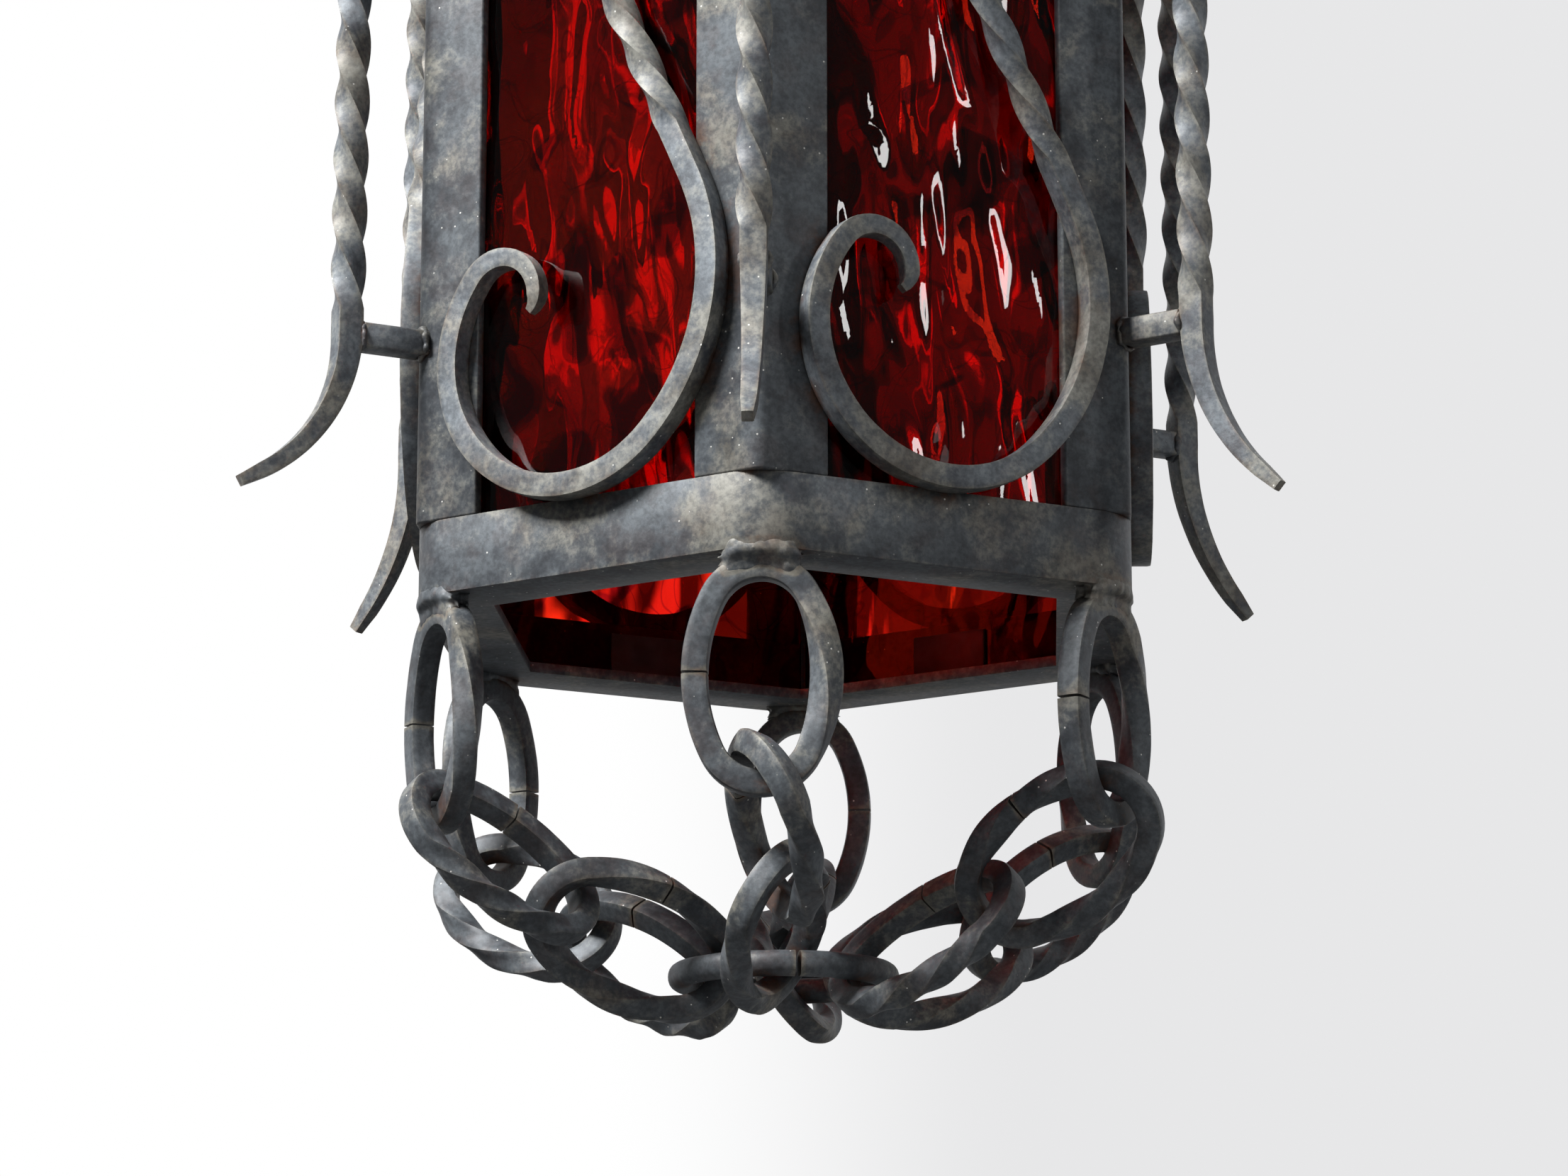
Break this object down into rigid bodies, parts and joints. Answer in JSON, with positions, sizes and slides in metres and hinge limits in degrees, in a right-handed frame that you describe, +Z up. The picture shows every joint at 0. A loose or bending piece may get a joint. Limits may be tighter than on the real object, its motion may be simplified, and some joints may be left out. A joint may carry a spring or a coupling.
{
  "type": "sanctuary lamp",
  "caption": "Hanging six-sided lantern of wrought iron with rippled red glass, S-scrolls on its faces, twisted corner bars, chain swags to a ring below and a chain crown.",
  "frame": {"origin": "where the ceiling hook bears inside the hanging ring", "axes": "+Z up along the lamp's axis, -Y towards corner 1, +X to that corner's right seen from the front"},
  "size_m": [0.2745, 0.3114, 0.7247],
  "materials": {
    "angle_iron": "dark oxide over hammered iron, rust at the seams",
    "wrought_iron": "dark forge scale, worn edges, rust where bars bear",
    "red_glass": "rippled, glossy",
    "spring_steel": "dull grey",
    "brass": "dull",
    "porcelain": "glazed white"
  },
  "bodies": {
    "hanger": {"hanging_ring": "wrought_iron"},
    "eye": {"swivel_eye": "wrought_iron", "swivel_washer": "wrought_iron", "swivel_nut": "wrought_iron"},
    "lantern": {"bottom_ring": "angle_iron", "top_ring": "angle_iron", "corner_post_1": "angle_iron", "corner_post_2": "angle_iron", "corner_post_3": "angle_iron", "corner_post_4": "angle_iron", "corner_post_5": "angle_iron", "corner_post_6": "angle_iron", "glass_pane_1": "red_glass", "glass_pane_2": "red_glass", "glass_pane_3": "red_glass", "glass_pane_4": "red_glass", "glass_pane_5": "red_glass", "glass_pane_6": "red_glass", "glass_clips": "spring_steel", "scroll_1": "wrought_iron", "scroll_2": "wrought_iron", "scroll_3": "wrought_iron", "scroll_4": "wrought_iron", "scroll_5": "wrought_iron", "scroll_6": "wrought_iron", "corner_rod_1": "wrought_iron", "corner_rod_2": "wrought_iron", "corner_rod_3": "wrought_iron", "corner_rod_4": "wrought_iron", "corner_rod_5": "wrought_iron", "corner_rod_6": "wrought_iron", "rod_stubs": "wrought_iron", "lower_loops": "wrought_iron", "upper_loops": "wrought_iron", "top_chain_1": "wrought_iron", "top_chain_2": "wrought_iron", "top_chain_3": "wrought_iron", "top_chain_4": "wrought_iron", "top_chain_5": "wrought_iron", "top_chain_6": "wrought_iron", "gathering_plate": "wrought_iron", "lampholder_strap": "spring_steel", "strap_bolts": "spring_steel", "threaded_tube": "brass", "tube_nut": "brass", "lampholder_cup": "porcelain", "lampholder_shell": "brass"},
    "lift_ring": {"lifting_ring": "wrought_iron"},
    "upper_chain_1": {"upper_link_1": "wrought_iron"},
    "lower_chain_1": {"lower_link_1": "wrought_iron"},
    "upper_chain_2": {"upper_link_2": "wrought_iron"},
    "lower_chain_2": {"lower_link_2": "wrought_iron"},
    "upper_chain_3": {"upper_link_3": "wrought_iron"},
    "lower_chain_3": {"lower_link_3": "wrought_iron"},
    "upper_chain_4": {"upper_link_4": "wrought_iron"},
    "lower_chain_4": {"lower_link_4": "wrought_iron"},
    "upper_chain_5": {"upper_link_5": "wrought_iron"},
    "lower_chain_5": {"lower_link_5": "wrought_iron"},
    "upper_chain_6": {"upper_link_6": "wrought_iron"},
    "lower_chain_6": {"lower_link_6": "wrought_iron"}
  },
  "joints": [
    {"name": "swing", "type": "hinge", "parent": "hanger", "child": "eye", "pos_m": [0, 0, -0.0365], "axis": [1, 0, 0], "range_deg": [-25, 25]},
    {"name": "swivel", "type": "hinge", "parent": "eye", "child": "lantern", "pos_m": [0, 0, -0.07082], "axis": [0, 0, 1], "continuous": true},
    {"name": "ring_lift", "type": "slide", "parent": "lantern", "child": "lift_ring", "axis": [0, 0, 1], "range_m": [0, 0.003]},
    {"name": "upper_hook_1", "type": "hinge", "parent": "lantern", "child": "upper_chain_1", "pos_m": [0, -0.101, -0.66773], "axis": [1, 0, 0], "range_deg": [-5.1, 0]},
    {"name": "lower_hook_1", "type": "hinge", "parent": "upper_chain_1", "child": "lower_chain_1", "pos_m": [0, -0.06606, -0.68783], "axis": [1, 0, 0], "range_deg": [0, 14]},
    {"name": "upper_hook_2", "type": "hinge", "parent": "lantern", "child": "upper_chain_2", "pos_m": [-0.08747, -0.0505, -0.66773], "axis": [0.5, -0.866, 0], "range_deg": [-5.1, 0]},
    {"name": "lower_hook_2", "type": "hinge", "parent": "upper_chain_2", "child": "lower_chain_2", "pos_m": [-0.05721, -0.03303, -0.68783], "axis": [0.5, -0.866, 0], "range_deg": [0, 14]},
    {"name": "upper_hook_3", "type": "hinge", "parent": "lantern", "child": "upper_chain_3", "pos_m": [-0.08747, 0.0505, -0.66773], "axis": [-0.5, -0.866, 0], "range_deg": [-5.1, 0]},
    {"name": "lower_hook_3", "type": "hinge", "parent": "upper_chain_3", "child": "lower_chain_3", "pos_m": [-0.05721, 0.03303, -0.68783], "axis": [-0.5, -0.866, 0], "range_deg": [0, 14]},
    {"name": "upper_hook_4", "type": "hinge", "parent": "lantern", "child": "upper_chain_4", "pos_m": [0, 0.101, -0.66773], "axis": [-1, 0, 0], "range_deg": [-5.1, 0]},
    {"name": "lower_hook_4", "type": "hinge", "parent": "upper_chain_4", "child": "lower_chain_4", "pos_m": [0, 0.06606, -0.68783], "axis": [-1, 0, 0], "range_deg": [0, 14]},
    {"name": "upper_hook_5", "type": "hinge", "parent": "lantern", "child": "upper_chain_5", "pos_m": [0.08747, 0.0505, -0.66773], "axis": [-0.5, 0.866, 0], "range_deg": [-5.1, 0]},
    {"name": "lower_hook_5", "type": "hinge", "parent": "upper_chain_5", "child": "lower_chain_5", "pos_m": [0.05721, 0.03303, -0.68783], "axis": [-0.5, 0.866, 0], "range_deg": [0, 14]},
    {"name": "upper_hook_6", "type": "hinge", "parent": "lantern", "child": "upper_chain_6", "pos_m": [0.08747, -0.0505, -0.66773], "axis": [0.5, 0.866, 0], "range_deg": [-5.1, 0]},
    {"name": "lower_hook_6", "type": "hinge", "parent": "upper_chain_6", "child": "lower_chain_6", "pos_m": [0.05721, -0.03303, -0.68783], "axis": [0.5, 0.866, 0], "range_deg": [0, 14]}
  ],
  "couplings": [
    {"joint": "upper_hook_1", "follows": "ring_lift", "rad_per_m": -29.117},
    {"joint": "lower_hook_1", "follows": "ring_lift", "rad_per_m": 79.986},
    {"joint": "upper_hook_2", "follows": "ring_lift", "rad_per_m": -29.117},
    {"joint": "lower_hook_2", "follows": "ring_lift", "rad_per_m": 79.986},
    {"joint": "upper_hook_3", "follows": "ring_lift", "rad_per_m": -29.117},
    {"joint": "lower_hook_3", "follows": "ring_lift", "rad_per_m": 79.986},
    {"joint": "upper_hook_4", "follows": "ring_lift", "rad_per_m": -29.117},
    {"joint": "lower_hook_4", "follows": "ring_lift", "rad_per_m": 79.986},
    {"joint": "upper_hook_5", "follows": "ring_lift", "rad_per_m": -29.117},
    {"joint": "lower_hook_5", "follows": "ring_lift", "rad_per_m": 79.986},
    {"joint": "upper_hook_6", "follows": "ring_lift", "rad_per_m": -29.117},
    {"joint": "lower_hook_6", "follows": "ring_lift", "rad_per_m": 79.986}
  ]
}
